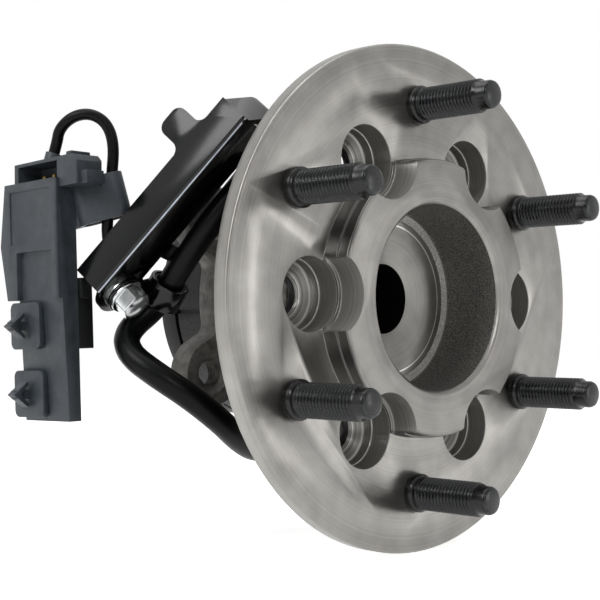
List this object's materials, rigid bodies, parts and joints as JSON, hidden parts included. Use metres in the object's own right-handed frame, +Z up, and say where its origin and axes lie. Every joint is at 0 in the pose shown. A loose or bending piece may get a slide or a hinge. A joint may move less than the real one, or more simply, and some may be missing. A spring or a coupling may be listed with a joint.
{
  "type": "wheel hub bearing",
  "caption": "Wheel hub and bearing unit with studded flange, notched pilot, eared housing, speed sensor, bracketed cable and plug.",
  "frame": {"origin": "centre of the wheel mounting face on the wheel axis", "axes": "+Y along the wheel axis towards the knuckle, +Z up, wheel side towards -Y"},
  "size_m": [0.2057, 0.1387, 0.1826],
  "materials": {
    "hub_steel": "turned and ground forged steel",
    "stud_steel": "black phosphate on steel",
    "bearing_steel": "hardened and ground bearing steel",
    "zinc_steel": "bright zinc plate on steel",
    "housing_casting": "rough forged steel with brown grey scale",
    "black_paint": "satin black electrocoat on sheet steel",
    "black_plastic": "moulded black nylon",
    "grey_plastic": "moulded dark grey glass filled nylon",
    "cage_plastic": "natural nylon",
    "seal_rubber": "nitrile rubber on a steel case",
    "cable_rubber": "smooth black synthetic rubber",
    "terminal_brass": "stamped brass"
  },
  "bodies": {
    "housing": {"bearing_housing": "housing_casting", "outboard_seal": "seal_rubber", "inboard_cover": "black_plastic", "abs_sensor": "black_plastic", "sensor_screw": "zinc_steel", "sensor_boot": "cable_rubber", "sensor_conduit": "cable_rubber", "conduit_end_sleeve": "cable_rubber", "connector_lead": "cable_rubber", "cable_bracket": "black_paint", "cable_clamp": "black_paint", "clamp_cushion": "cable_rubber", "clamp_washer": "zinc_steel", "bracket_bolt": "zinc_steel", "bracket_nut": "zinc_steel", "connector_carrier": "grey_plastic", "push_clips": "grey_plastic", "rear_clip": "black_plastic", "connector_housing": "grey_plastic", "connector_terminals": "terminal_brass", "connector_latch": "grey_plastic"},
    "hub": {"hub_flange": "hub_steel", "wheel_studs": "stud_steel", "inner_ring": "bearing_steel", "tone_ring": "bearing_steel", "spindle_washer": "bearing_steel", "spindle_nut": "zinc_steel", "seal_slinger": "bearing_steel"},
    "outboard_balls": {"balls_outboard": "bearing_steel", "ball_cage_outboard": "cage_plastic"},
    "inboard_balls": {"balls_inboard": "bearing_steel", "ball_cage_inboard": "cage_plastic"}
  },
  "joints": [
    {"name": "hub_spin", "type": "hinge", "parent": "housing", "child": "hub", "pos_m": [0, 0, 0], "axis": [0, 1, 0], "continuous": true},
    {"name": "outboard_cage_spin", "type": "hinge", "parent": "housing", "child": "outboard_balls", "pos_m": [0, 0.034, 0], "axis": [0, 1, 0], "continuous": true},
    {"name": "inboard_cage_spin", "type": "hinge", "parent": "housing", "child": "inboard_balls", "pos_m": [0, 0.055, 0], "axis": [0, 1, 0], "continuous": true}
  ],
  "couplings": [
    {"joint": "outboard_cage_spin", "follows": "hub_spin", "ratio": 0.4235},
    {"joint": "inboard_cage_spin", "follows": "hub_spin", "ratio": 0.4235}
  ]
}
